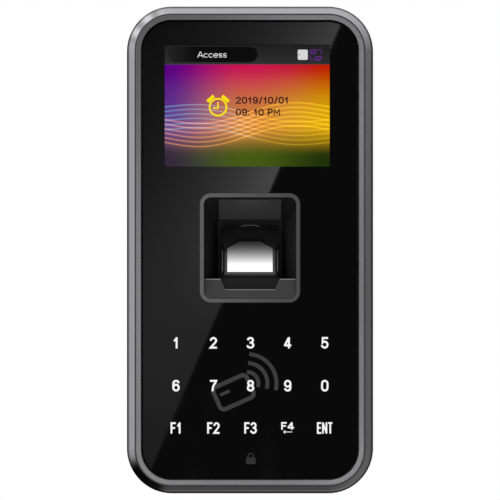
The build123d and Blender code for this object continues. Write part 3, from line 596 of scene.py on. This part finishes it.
def rounded_box(x, z, width, height, radius, steps=8):
    """A rounded rectangle's outline, anticlockwise."""
    parts = []
    for turn, (right, up) in enumerate(((1, 1), (-1, 1), (-1, -1), (1, -1))):
        centre = (x + right * (width / 2 - radius), z + up * (height / 2 - radius))
        parts.append(bow(*centre, radius, radius, 90 * turn, 90 * turn + 90, steps))
    return np.concatenate(parts)


def turned(points, degrees, x, z):
    """Points turned anticlockwise about the origin, then carried to (x, z)."""
    angle = math.radians(degrees)
    matrix = np.array([[math.cos(angle), math.sin(angle)], [-math.sin(angle), math.cos(angle)]])
    return np.asarray(points, float) @ matrix + (x, z)


# ---- lettering --------------------------------------------------------------
def joined(*parts):
    """One path through points and arcs."""
    return np.concatenate([np.atleast_2d(np.asarray(part, float)) for part in parts])


def open_paths(*paths):
    """Strokes with two ends."""
    return [(np.asarray(path, float), False) for path in paths]


def glyphs():
    """Each sign's strokes in a unit square, as (path, closed) pairs, and its width."""
    bowl = bow(0.5, 0.30, 0.5, 0.30, 180, 540, 32)
    tail = joined(bow(0.5, 0.76, 0.48, 0.24, 20, 165, 12), (0.0, 0.52), bowl)
    zero = joined(bow(0.5, 0.70, 0.5, 0.30, 0, 180), bow(0.5, 0.30, 0.5, 0.30, 180, 360))
    two = joined(bow(0.5, 0.73, 0.48, 0.27, 168, -30), (0.0, 0.0), (1.0, 0.0))
    three = (bow(0.47, 0.76, 0.46, 0.24, 160, -90), bow(0.46, 0.26, 0.54, 0.26, 90, -160))
    four = ([(0.72, 0.0), (0.72, 1.0)], [(0.64, 0.96), (0.02, 0.28)], [(0.0, 0.24), (1.02, 0.24)])
    five = joined((0.95, 1.0), (0.14, 1.0), (0.06, 0.50), bow(0.48, 0.31, 0.52, 0.31, 128, -160))
    eight = [(bow(0.5, middle, across, middle_height, 0, 348, 28), True)
             for middle, across, middle_height in ((0.76, 0.44, 0.24), (0.26, 0.5, 0.26))]
    letter_e = ([(1.0, 1.0), (0.0, 1.0), (0.0, 0.0), (1.0, 0.0)], [(0.1, 0.52), (0.85, 0.52)])
    letter_n = ([(0.0, 0.0), (0.0, 1.0)], [(1.0, 0.0), (1.0, 1.0)], [(0.06, 0.95), (0.94, 0.05)])
    letter_a = ([(0.0, 0.0), (0.46, 1.0), (0.54, 1.0), (1.0, 0.0)], [(0.25, 0.3), (0.75, 0.3)])
    letter_p = joined((0.0, 0.0), (0.0, 1.0), bow(0.5, 0.74, 0.5, 0.26, 90, -90), (0.1, 0.48))
    letter_s = joined(bow(0.5, 0.51, 0.42, 0.17, 30, 270), bow(0.5, 0.17, 0.42, 0.17, 90, -150))
    return {
        "0": ([(zero, True)], 1.0),
        "1": (open_paths([(0.10, 0.72), (0.56, 0.93)], [(0.66, 1.0), (0.66, 0.0)]), 0.66),
        "2": (open_paths(two), 1.0),
        "3": (open_paths(*three), 1.0),
        "4": (open_paths(*four), 1.0),
        "5": (open_paths(five), 1.0),
        "6": (open_paths(tail), 1.0),
        "7": (open_paths(joined((0.0, 1.0), (1.0, 1.0), bow(1.45, 0.0, 1.1, 0.95, 122, 180, 8))), 1.0),
        "8": (eight, 1.0),
        "9": (open_paths(1.0 - tail), 1.0),
        "F": (open_paths([(1.0, 1.0), (0.0, 1.0), (0.0, 0.0)], [(0.1, 0.50), (0.8, 0.50)]), 0.8),
        "E": (open_paths(*letter_e), 0.72),
        "N": (open_paths(*letter_n), 0.9),
        "T": (open_paths([(0.0, 1.0), (1.0, 1.0)], [(0.5, 0.9), (0.5, 0.0)]), 0.78),
        "A": (open_paths(*letter_a), 1.15),
        "P": (open_paths(letter_p), 0.95),
        "M": (open_paths([(0.0, 0.0), (0.0, 1.0), (0.5, 0.3), (1.0, 1.0), (1.0, 0.0)]), 1.3),
        "c": (open_paths(bow(0.5, 0.34, 0.5, 0.34, 48, 312)), 0.85),
        "e": (open_paths(joined((0.1, 0.36), (0.98, 0.36), bow(0.5, 0.34, 0.5, 0.34, 8, 312, 24))), 0.9),
        "s": (open_paths(letter_s), 0.75),
        "/": (open_paths([(0.0, -0.05), (1.0, 1.05)]), 0.6),
        ":": (open_paths([(0.5, 0.12), (0.5, 0.13)], [(0.5, 0.62), (0.5, 0.63)]), 0.1),
        " ": ([], 0.3),
    }


GLYPHS = glyphs()


def lettering(text, x, z, height, aspect, weight, face, align=0.5, spacing=0.4):
    """Signs in a row: each is its unit square stretched between its strokes' middles."""
    thick = weight * height
    widths = [thick + GLYPHS[sign][1] * (aspect * height - thick) for sign in text]
    gap = thick * spacing
    left = x - (sum(widths) + gap * (len(text) - 1)) * align
    parts = []
    for sign, width in zip(text, widths):
        for path, closed in GLYPHS[sign][0]:
            spots = path * (width - thick, height - thick) + (left + thick / 2, z - height / 2 + thick / 2)
            parts.append(stroke(spots if closed else trimmed(spots, thick), thick, face, closed))
        left += width + gap
    return parts


def trimmed(path, thick):
    """A path whose ends are drawn in by an eighth of the stroke, for crisp corners."""
    path = path.copy()
    for end, inner in ((0, 1), (-1, -2)):
        run = path[inner] - path[end]
        path[end] += run / np.linalg.norm(run) * thick / 8
    return path


# ---- pieces -----------------------------------------------------------------
def add_legends():
    """White touch legends, a hair proud of the pane."""
    white = lit("legend_white", (0.93, 0.93, 0.93))
    face = PANE - 0.05
    rows = (("1", "2", "3", "4", "5"), ("6", "7", "8", "9", "0"), ("F1", "F2", "F3", "", "ENT"))
    for z, signs in zip(KEY_ROWS, rows):
        for x, text in zip(KEY_COLUMNS, signs):
            if text:
                aspect, weight = {1: (0.64, 0.165), 2: (0.55, 0.155), 3: (0.48, 0.14)}[len(text)]
                parts = lettering(text, x, z, LEGEND_HEIGHT, aspect, weight, face)
                add_mesh("legend_" + text, *merge(parts), white)
    x, z = KEY_COLUMNS[3], KEY_ROWS[2]
    parts = lettering("F4", x, z + 0.72, 2.75, 0.86, 0.19, face)
    parts.append(stroke([(x + 1.5, z - 1.4), (x - 1.3, z - 1.4)], 0.22, face))
    parts.append(stroke([(x - 0.95, z - 0.98), (x - 1.4, z - 1.4), (x - 0.95, z - 1.82)], 0.26, face))
    add_mesh("legend_F4_enter", *merge(parts), white)


def add_card_mark():
    """Grey contactless sign: a tilted card and three waves, and a small padlock below."""
    grey = print_ink("print_grey", (0.036, 0.036, 0.037))
    face = PANE - 0.02
    card = turned(rounded_box(0.0, 0.0, 13.0, 8.6, 1.6), CARD_TILT, CARD_X, CARD_Z)
    stripe = turned([(-4.2, 1.0), (-1.6, 1.0)], CARD_TILT, CARD_X, CARD_Z)
    parts = [stroke(card, 1.5, face, True), stroke(stripe, 1.1, face)]
    for radius in (4.0, 7.2, 10.4):
        parts.append(stroke(bow(WAVE_X, WAVE_Z, radius, radius, -10, 82, 24), 1.35, face))
    add_mesh("contactless_card_sign", *merge(parts), grey)
    x, z = PADLOCK_X, PADLOCK_Z
    shackle = joined((x - 0.95, z + 0.7), bow(x, z + 1.0, 0.95, 0.95, 180, 0), (x + 0.95, z + 0.7))
    lock = [plate(rounded_box(x, z - 0.6, 3.4, 2.4, 0.4), face), stroke(shackle, 0.4, face)]
    add_mesh("padlock_sign", *merge(lock), print_ink("print_dim_grey", (0.022, 0.022, 0.023)))


def on_window(x, along, out):
    """A point from its place across, up and off the tilted finger window."""
    y = WINDOW_MIDDLE[1] + along * SLOPE_Y - out * SLOPE_Z
    z = WINDOW_MIDDLE[2] + along * SLOPE_Z + out * SLOPE_Y
    return x, y, z


def add_pocket_edges():
    """Painted highlights as pale beads: the sill's top and notch, the rails beside the window, the hood's
    brow.
    """
    # painted highlight: pale beads on the sill's top edges and along the notch
    bright = moulding("sill_highlight_edge", (0.22, 0.22, 0.222), 0.25, 0.3, 0.003)
    sides = (-1, 1)
    sill = []
    for side in sides:
        sill.append(bead([(side * SILL_INNER, SILL_Y, SILL_Z), (side * SILL_OUTER, SILL_Y, SILL_Z)], 0.24))
    sill.append(bead([(-NOTCH_HALF, NOTCH_Y, NOTCH_Z), (NOTCH_HALF, NOTCH_Y, NOTCH_Z)], 0.17))
    add_mesh("sill_edges", *merge(sill), bright, slot="rest_plastic")
    rails = []
    for side in sides:
        foot = on_window(side * RAIL_X, RAIL_FOOT, 1.2)
        top = on_window(side * RAIL_X, RAIL_TOP, 1.2)
        rails.append(bead([foot, top], 0.13))
    # painted highlight: pale beads along the rails beside the window
    rail_highlight = moulding("rail_highlight_edge", (0.10, 0.10, 0.101), 0.35, 0.3, 0.003)
    add_mesh("rail_edges", *merge(rails), rail_highlight, slot="rest_plastic")
    sweep = np.linspace(-1.0, 1.0, 17)
    brow = [on_window(BROW_HALF * step, 10.15 - 0.5 * step * step, 3.6) for step in sweep]
    # painted highlight: a pale bead along the hood's brow
    dull = moulding("brow_highlight_edge", (0.075, 0.075, 0.076), 0.3, 0.3, 0.003)
    add_mesh("hood_brow", *bead(brow, 0.22), dull, slot="pocket_plastic")


def add_picture():
    """The lit picture on the panel, with its bar, signs, clock and date."""
    across = np.linspace(PICTURE_LEFT, PICTURE_LEFT + PICTURE_WIDTH, 25)
    along = np.linspace(PICTURE_FOOT, PICTURE_TOP, 19)
    x, z = np.meshgrid(across, along)
    points = np.stack([x, np.full(x.shape, PICTURE_FACE), z], -1).reshape(-1, 3)
    add_mesh("screen_picture", points, grid_faces(19, 25), picture(), slot="display")
    pill = plate(rounded_box(-13.1, BAR_MIDDLE + 0.15, 31.6, 5.5, 2.7), SIGN_FACE)
    add_mesh("screen_pill", *pill, pill_shade(), slot="display")
    words = lettering("Access", -13.5, BAR_MIDDLE + 0.1, 2.15, 0.88, 0.10, TOP_SIGN_FACE)
    add_mesh("screen_word", *merge(words), lit("sign_white", (0.86, 0.86, 0.88)), slot="display")
    door = plate(rounded_box(18.8, BAR_MIDDLE + 0.05, 3.55, 3.65, 0.45), SIGN_FACE)
    add_mesh("screen_door_sign", *door, lit("door_white", (0.68, 0.68, 0.69)), slot="display")
    knob = plate(ring_path(17.6, BAR_MIDDLE + 0.05, 0.22, 12), TOP_SIGN_FACE)
    add_mesh("screen_door_knob", *knob, lit("knob_black", (0.02, 0.02, 0.02)), slot="display")
    add_network_sign(23.4, BAR_MIDDLE + 0.05)
    add_alarm_clock(CLOCK_X, CLOCK_Z)
    brown = lit("date_brown", screen(50, 22, 28))
    for name, text, z in (("date", "2019/10/01", DATE_Z), ("time", "09: 10 PM", TIME_Z)):
        words = lettering(text, DATE_LEFT, z, DATE_HEIGHT, 0.765, 0.19, SIGN_FACE, 0.0, 0.55)
        add_mesh("screen_" + name, *merge(words), brown, slot="display")


def pill_shade():
    """Black lozenge that fades to the bar's grey at its left end."""
    paint = Paint("pill_shade", Emission_Strength=1.0, **UNLIT)
    depth = paint.x.ease(-29.0, -18.0, 0.014, 0.0035) + paint.noise(3.0) * 0.001
    return paint.feed(Emission_Color=paint.gain((1.0, 1.0, 1.02), depth)).material


def add_network_sign(x, z):
    """Two small violet screens on stands, linked by broken lines."""
    violet = lit("sign_violet", screen(100, 40, 138))
    parts = []
    for side in (-1, 1):
        across, up = x + side * 0.95, z - side * 1.15
        parts.append(stroke(rounded_box(across, up, 1.9, 0.95, 0.15), 0.34, SIGN_FACE, True))
        parts.append(stroke([(across - 0.45, up - 0.85), (across + 0.45, up - 0.85)], 0.24, SIGN_FACE))
        for near, far in ((0.25, 0.95), (1.2, 1.95)):
            level = z + side * 1.75
            parts.append(stroke([(x + side * near, level), (x + side * far, level)], 0.22, SIGN_FACE))
        for low, high in ((1.75, 1.15), (0.9, 0.3)):
            beside = x + side * 1.95
            parts.append(stroke([(beside, z + side * low), (beside, z + side * high)], 0.22, SIGN_FACE))
    add_mesh("screen_network_sign", *merge(parts), violet, slot="display")


def add_alarm_clock(x, z):
    """Yellow clock: a ring, two hands and two bells."""
    yellow = lit("sign_yellow", screen(250, 226, 0))
    parts = [
        stroke(ring_path(x, z, CLOCK_RADIUS), 0.62, SIGN_FACE, True),
        stroke([(x, z + 1.55), (x, z - 0.35), (x - 1.55, z - 0.35)], 0.5, SIGN_FACE),
    ]
    for side in (-1, 1):
        bell = turned([(-0.95, 0.0), (0.95, 0.0)], -side * 42.0, x + side * 2.65, z + 3.0)
        parts.append(stroke(bell, 1.2, SIGN_FACE))
    add_mesh("screen_alarm_clock", *merge(parts), yellow, slot="display")


def finish_cad():
    """Every CAD node's finish."""
    steel = plain_metal("stainless_steel", (0.62, 0.62, 0.63), 0.24)
    rolled = plain_metal("plated_steel", (0.66, 0.66, 0.65), 0.3, (1.0, 1.0, 0.05))
    brass = plain_metal("turned_brass", (0.72, 0.52, 0.22), 0.25)
    foam = moulding("foam_tape", (0.022, 0.022, 0.022), 0.9, 0.5, 0.08)
    pocket = moulding("pocket_moulding", (0.014, 0.014, 0.0142), 0.5, 0.3, 0.006, Specular_IOR_Level=0.25)
    hood = moulding("hood_moulding", (0.0045, 0.0045, 0.0046), 0.55, 0.3, 0.006, Specular_IOR_Level=0.15)
    nose = moulding("sensor_moulding", (0.011, 0.011, 0.0113), 0.45, 0.3, 0.006, Specular_IOR_Level=0.3)
    epoxy = moulding("chip_epoxy", (0.02, 0.02, 0.021), 0.55, 0.2, 0.01)
    lamp = lit("small_lamp", (0.75, 0.75, 0.70), 0.4, 0.3)
    amber = film("amber_film", (0.42, 0.19, 0.03))
    board = circuit("board_green", (0.010, 0.062, 0.030), (0.03, 0.14, 0.06))
    black_board = circuit("board_black", (0.012, 0.013, 0.014), (0.03, 0.032, 0.034))
    rubber = moulding("seal_rubber", (0.018, 0.018, 0.018), 0.62, 0.8, 0.01)
    inner = moulding("inner_moulding", (0.035, 0.035, 0.036), 0.6)
    finishes = (
        (powder_coat(), "wall_bracket"),
        (steel, "security_washer security_screw case_screws chassis_screws board_screws tamper_spring"),
        (brass, "security_insert case_inserts"),
        (moulding("case_moulding", (0.020, 0.020, 0.021), 0.46, 0.45, 0.02), "rear_case"),
        (rubber, "case_seal bay_seal"),
        (satin_chrome(), "front_frame"),
        (foam, "glass_adhesive lcd_gasket speaker_gasket"),
        (black_pane(), "front_glass"),
        (inner, "inner_chassis speaker_frame"),
        (panel_glass(), "lcd_glass"),
        (moulding("light_tray", (0.72, 0.72, 0.70), 0.4), "lcd_backlight"),
        (amber, "lcd_flex touch_flex sensor_ribbon"),
        (board, "main_board sensor_board"),
        (black_board, "touch_board"),
        (moulding("frosted_guide", (0.62, 0.63, 0.64), 0.35, 0.8, 0.01), "legend_light_guide"),
        (lamp, "legend_leds sensor_leds"),
        (lit("dim_lamp", (0.5, 0.5, 0.5), 0.02, 0.3), "status_leds"),
        (plain_metal("antenna_copper", (0.75, 0.36, 0.20), 0.3), "antenna_coil"),
        (ring_grey(), "sensor_ring"),
        (pocket, "pocket_liner"),
        (hood, "finger_stop"),
        (nose, "sensor_body"),
        (smoked_window(), "ceiling_window"),
        (moulding("rest_moulding", (0.028, 0.028, 0.029), 0.36, 0.3, 0.006), "finger_rest"),
        (moulding("bezel_moulding", (0.052, 0.052, 0.053), 0.4, 0.3, 0.006), "sensor_frame"),
        (finger_window(), "sensor_prism"),
        (moulding("lens_glass", (0.06, 0.07, 0.075), 0.05, 4.0, 0.001), "sensor_lens"),
        (rolled, "processor_shield coin_cell speaker_magnet"),
        (epoxy, "board_chips reset_switch tamper_switch"),
        (moulding("relay_moulding", (0.012, 0.05, 0.16), 0.35), "relays"),
        (moulding("capacitor_sleeve", (0.015, 0.018, 0.03), 0.3), "capacitors"),
        (moulding("jack_moulding", (0.03, 0.03, 0.031), 0.4), "network_jack coin_cell_holder"),
        (plain_metal("gold_contacts", (0.83, 0.60, 0.22), 0.2), "jack_contacts"),
        (moulding("terminal_green", (0.03, 0.20, 0.07), 0.4), "terminal_headers"),
        (moulding("lever_orange", (0.70, 0.20, 0.02), 0.4), "terminal_levers"),
        (moulding("button_grey", (0.25, 0.25, 0.25), 0.5), "reset_button"),
        (moulding("plunger_nylon", (0.62, 0.60, 0.55), 0.5), "tamper_plunger"),
        (moulding("cone_film", (0.03, 0.03, 0.03), 0.35, 0.6, 0.02), "speaker_cone"),
        (moulding("lead_sleeve", (0.30, 0.02, 0.02), 0.45), "speaker_leads"),
    )
    for material, nodes in finishes:
        for node in nodes.split():
            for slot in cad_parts[node].material_slots:
                slot.material = material


def panel_glass():
    """Display glass: near black, smooth, with the faint grid of its cells."""
    paint = Paint("panel_glass")
    cells = (paint.x * CELL_RATE).sine() * (paint.z * CELL_RATE).sine()
    shade = paint.gain((0.006, 0.006, 0.008), cells * 0.3 + 0.9)
    return paint.feed(Base_Color=shade, Roughness=0.1 + paint.noise(6.0) * 0.06).material


def ring_grey():
    """Grey satin ring around the finger pocket, with painted shade making it a little darker to the right."""
    paint = Paint("ring_grey", Metallic=0.0)
    fine = paint.noise(0.25, 2.0)
    # painted shade: darker towards the right
    painted_side_shade = paint.x.ease(-18.0, 18.0, 1.25, 0.72)
    shade = paint.gain((0.080, 0.080, 0.082), painted_side_shade * (fine * 0.15 + 0.92))
    return paint.feed(Base_Color=shade, Roughness=0.36 + fine * 0.12, Normal=paint.bump(fine, 0.004)).material


def smoked_window():
    """Smoked glass over the pocket's lamps, with a soft clouded tone; its faint glow is partly those lamps
    and partly painted light that lifts it in the pocket's shade.
    """
    paint = Paint("smoked_window", Emission_Strength=0.28)
    clouds = paint.noise(5.0, 3.0)
    shade = paint.gain((0.034, 0.034, 0.035), clouds * 0.1 + 0.95)
    # painted light: a faint glow in the window's own colour
    paint.feed(Emission_Color=shade)
    sheen = 0.18 + clouds * 0.1
    return paint.feed(Base_Color=shade, Roughness=sheen, Normal=paint.bump(clouds, 0.004)).material


# ---- the room ---------------------------------------------------------------
def stage_mesh(name, low, high, y, z, material, flat):
    """A staged sheet between two corners: upright at a depth y, or lying at a height z."""
    u, v = np.meshgrid((low[0], high[0]), (low[1], high[1]))
    layers = (u, v, np.full(u.shape, z)) if flat else (u, np.full(u.shape, y), v)
    mesh = bpy.data.meshes.new(name)
    mesh.from_pydata(np.stack(layers, -1).reshape(-1, 3).tolist(), [], grid_faces(2, 2).tolist())
    mesh.materials.append(material)
    sheet = bpy.data.objects.new(name, mesh)
    bpy.context.scene.collection.objects.link(sheet)
    return sheet


def card_light():
    """Light of the card: a lit left part with a slanting edge, and a border for the frame."""
    paint = Paint("card_light", Base_Color=BLACK, Roughness=1.0, Specular_IOR_Level=0.0)
    paint.shader.inputs["Emission Strength"].default_value = 1.0
    spread = (CARD_PLANE - PANE * MM) / (PANE * MM - (FRONT_PLANE - CAMERA_DISTANCE)) * -1.0 + 1.0
    x = paint.x / spread
    z = paint.z / spread
    edge = z * 0.4257 - 1.96
    left = edge - x
    upper = z.ease(-32.0, 30.0)
    glow = upper * (left / 21.0).fade() * 0.060 * z.ease(20.0, 80.0, 1.0, 0.72) + upper * 0.004
    glow = glow + (1.0 - upper) * z.ease(-95.0, -25.0, 0.012, 0.018)
    pane = ((glow - 0.0037) * 25.0).most(0.0) * left.ease(-0.35, 0.35)
    border = (abs(x) - 39.4).most(abs(z) - 82.4).above(0.0)
    rim = x.ease(-44.0, 44.0, 0.42, 0.36) * z.ease(60.0, 84.0, 1.0, 0.7)
    light = pane * (1.0 - border) + rim * border
    return paint.feed(Emission_Color=paint.gain((1.0, 1.0, 1.0), light)).material


def pale_floor():
    """Plain pale floor with the faintest unevenness."""
    paint = Paint("pale_floor")
    clouds = paint.noise(180.0, 2.0)
    shade = paint.gain((0.90, 0.90, 0.90), clouds * 0.03 + 0.98)
    return paint.feed(Base_Color=shade, Roughness=0.75 + clouds * 0.1).material


def light_room():
    """White surroundings; what gloss mirrors is softer and darker, side by side."""
    world = bpy.data.worlds.new("room")
    bpy.context.scene.world = world
    world.use_nodes = True
    room = NodeTree(world.node_tree)
    world.node_tree.nodes.clear()
    across, depth, height = room.place("ShaderNodeTexCoord", "Generated", 1.0)[1:]
    ahead = (0.0 - depth).most(0.0)
    left = (0.0 - across).most(0.0)
    right = across.most(0.0)
    top = height.most(0.0)
    foot = (0.0 - height).most(0.0)
    turn = room.node("ShaderNodeMath", {"operation": "ARCTAN2"}, {0: height, 1: across})
    panes = (turn * 15.0).sine() * turn.ease(1.75, 2.0) * turn.ease(2.75, 3.0, 1.0, 0.0)
    sides = left * height.ease(-0.55, -0.05) * 0.62 + top * 0.80 + right * 0.18 + foot * 0.11
    near = ahead.ease(0.86, 0.97) * ahead.ease(0.995, 0.97) * 0.22
    dusk = turn.ease(-2.9, -2.6) * turn.ease(-1.95, -1.65, 1.0, 0.0)
    behind = depth.ease(0.0, 0.35, 1.0, 0.25)
    mirrored = (sides * (panes * 0.4 + 1.0) * (1.0 - dusk * 0.95) + near) * behind
    path = room.node("ShaderNodeLightPath", {}, {})
    camera = Signal(room, path.socket.node.outputs["Is Camera Ray"])
    glossy = Signal(room, path.socket.node.outputs["Is Glossy Ray"])
    soft = 0.72 + height * 0.2
    light = camera + (1.0 - camera) * (glossy * mirrored + (1.0 - glossy) * soft)
    background = room.node("ShaderNodeBackground", {}, {0: room.gain((1.0, 1.0, 1.0), light), 1: 1.0})
    output = world.node_tree.nodes.new("ShaderNodeOutputWorld")
    world.node_tree.links.new(background.socket, output.inputs[0])


def add_lamp(name, spot, aim, size, power):
    """A soft square lamp that shows in no reflection."""
    lamp = bpy.data.lights.new(name, "AREA")
    lamp.size = size
    lamp.energy = power
    holder = bpy.data.objects.new(name, lamp)
    bpy.context.scene.collection.objects.link(holder)
    holder.location = spot
    run = [end - start for start, end in zip(spot, aim)]
    flat = math.hypot(run[0], run[1])
    holder.rotation_euler = (math.atan2(flat, -run[2]), 0.0, math.atan2(-run[0], run[1]))
    holder.visible_glossy = False
    holder.visible_camera = False


def set_stage():
    """Camera, lamps, floor and the card."""
    camera = bpy.data.cameras.new("camera")
    camera.lens = FOCAL_LENGTH
    camera.sensor_width = 36.0
    camera.clip_start = 0.01
    holder = bpy.data.objects.new("camera", camera)
    bpy.context.scene.collection.objects.link(holder)
    holder.location = (0.0, FRONT_PLANE - CAMERA_DISTANCE, 0.0)
    holder.rotation_euler = (math.radians(90.0), 0.0, 0.0)
    bpy.context.scene.camera = holder
    bpy.context.scene.view_settings.view_transform = "Standard"
    light_room()
    card = stage_mesh("reflected_card", (-0.45, -0.60), (0.45, 0.60), CARD_PLANE, 0.0, card_light(), False)
    card.visible_camera = False
    card.visible_diffuse = False
    card.visible_shadow = False
    card.visible_transmission = False
    floor = stage_mesh("floor", (-6.0, -6.0), (6.0, 1.5), 0.0, -0.25, pale_floor(), True)
    floor.visible_glossy = False
    add_lamp("key_lamp", (-0.7, -1.1, 0.9), (0.0, 0.0, 0.0), 0.5, 6.0)


set_stage()
finish_cad()
add_legends()
add_card_mark()
add_pocket_edges()
add_picture()
